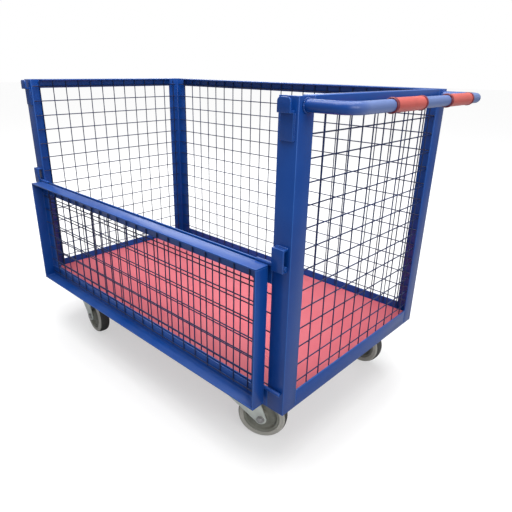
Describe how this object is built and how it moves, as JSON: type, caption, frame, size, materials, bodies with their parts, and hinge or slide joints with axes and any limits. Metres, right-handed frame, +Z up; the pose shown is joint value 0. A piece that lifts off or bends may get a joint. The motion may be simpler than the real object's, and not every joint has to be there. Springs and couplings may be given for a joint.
{
  "type": "mesh cage platform trolley",
  "caption": "Platform trolley with welded mesh sides, a half-height drop gate, tubular push handle and swivel casters.",
  "frame": {"origin": "on the floor under the middle of the overall footprint, handle and folded gate included", "axes": "+X runs along the platform to the push-handle end, +Y from the gate side to the back, +Z up"},
  "size_m": [1.327, 0.731, 0.93],
  "materials": {
    "blue_paint": "semi-gloss enamel",
    "mesh_wire": "thin dark blue enamel",
    "deck_board": "painted, matte",
    "grip": "soft satin",
    "zinc_steel": "zinc plated",
    "bare_steel": "bright",
    "wheel_core": "moulded, matte",
    "tyre": "matte grey rubber"
  },
  "bodies": {
    "frame": {"post_front_left": "blue_paint", "post_front_right": "blue_paint", "post_back_left": "blue_paint", "post_back_right": "blue_paint", "base_rail_front": "blue_paint", "base_rail_back": "blue_paint", "base_rail_left": "blue_paint", "base_rail_right": "blue_paint", "top_rail_back": "blue_paint", "top_rail_left": "blue_paint", "top_rail_right": "blue_paint", "mid_rail_front": "blue_paint", "deck_board": "deck_board", "caster_cross_plate_left": "blue_paint", "caster_cross_plate_right": "blue_paint", "mesh_back": "mesh_wire", "mesh_left": "mesh_wire", "mesh_right": "mesh_wire", "mesh_front_lower": "mesh_wire", "gate_keeper_left": "blue_paint", "gate_keeper_right": "blue_paint", "gate_hook_left": "blue_paint", "gate_hook_right": "blue_paint", "push_handle": "blue_paint", "handle_grip_front": "grip", "handle_grip_back": "grip", "caster_plate_front_left": "zinc_steel", "caster_plate_front_right": "zinc_steel", "caster_plate_back_left": "zinc_steel", "caster_plate_back_right": "zinc_steel", "caster_raceway_front_left": "zinc_steel", "caster_raceway_front_right": "zinc_steel", "caster_raceway_back_left": "zinc_steel", "caster_raceway_back_right": "zinc_steel"},
    "gate_carriage": {"gate_hinge_pin_left": "bare_steel", "gate_hinge_pin_right": "bare_steel"},
    "gate": {"gate_rail_top": "blue_paint", "gate_rail_bottom": "blue_paint", "gate_stile_left": "blue_paint", "gate_stile_right": "blue_paint", "mesh_gate": "mesh_wire", "gate_latch_pin_left": "bare_steel", "gate_latch_pin_right": "bare_steel"},
    "caster_front_left": {"caster_fork_front_left": "zinc_steel", "caster_axle_front_left": "zinc_steel"},
    "wheel_front_left": {"caster_hub_front_left": "wheel_core", "caster_tyre_front_left": "tyre"},
    "caster_front_right": {"caster_fork_front_right": "zinc_steel", "caster_axle_front_right": "zinc_steel"},
    "wheel_front_right": {"caster_hub_front_right": "wheel_core", "caster_tyre_front_right": "tyre"},
    "caster_back_left": {"caster_fork_back_left": "zinc_steel", "caster_axle_back_left": "zinc_steel"},
    "wheel_back_left": {"caster_hub_back_left": "wheel_core", "caster_tyre_back_left": "tyre"},
    "caster_back_right": {"caster_fork_back_right": "zinc_steel", "caster_axle_back_right": "zinc_steel"},
    "wheel_back_right": {"caster_hub_back_right": "wheel_core", "caster_tyre_back_right": "tyre"}
  },
  "joints": [
    {"name": "gate_lift", "type": "slide", "parent": "frame", "child": "gate_carriage", "axis": [0, 0, 1], "range_m": [0, 0.028]},
    {"name": "gate_swing", "type": "hinge", "parent": "gate_carriage", "child": "gate", "pos_m": [-0.0585, -0.3202, 0.5798], "axis": [-1, 0, 0], "range_deg": [0, 180]},
    {"name": "swivel_front_left", "type": "hinge", "parent": "frame", "child": "caster_front_left", "pos_m": [-0.4835, -0.2515, 0.152], "axis": [0, 0, 1], "continuous": true},
    {"name": "wheel_spin_front_left", "type": "hinge", "parent": "caster_front_left", "child": "wheel_front_left", "pos_m": [-0.43387, -0.25759, 0.07], "axis": [0.1219, 0.9925, 0], "continuous": true},
    {"name": "swivel_front_right", "type": "hinge", "parent": "frame", "child": "caster_front_right", "pos_m": [0.3665, -0.2515, 0.152], "axis": [0, 0, 1], "continuous": true},
    {"name": "wheel_spin_front_right", "type": "hinge", "parent": "caster_front_right", "child": "wheel_front_right", "pos_m": [0.41065, -0.22803, 0.07], "axis": [-0.4695, 0.8829, 0], "continuous": true},
    {"name": "swivel_back_left", "type": "hinge", "parent": "frame", "child": "caster_back_left", "pos_m": [-0.4835, 0.3025, 0.152], "axis": [0, 0, 1], "continuous": true},
    {"name": "wheel_spin_back_left", "type": "hinge", "parent": "caster_back_left", "child": "wheel_back_left", "pos_m": [-0.43652, 0.2854, 0.07], "axis": [0.342, 0.9397, 0], "continuous": true},
    {"name": "swivel_back_right", "type": "hinge", "parent": "frame", "child": "caster_back_right", "pos_m": [0.3665, 0.3025, 0.152], "axis": [0, 0, 1], "continuous": true},
    {"name": "wheel_spin_back_right", "type": "hinge", "parent": "caster_back_right", "child": "wheel_back_right", "pos_m": [0.4165, 0.3025, 0.07], "axis": [0, 1, 0], "continuous": true}
  ]
}
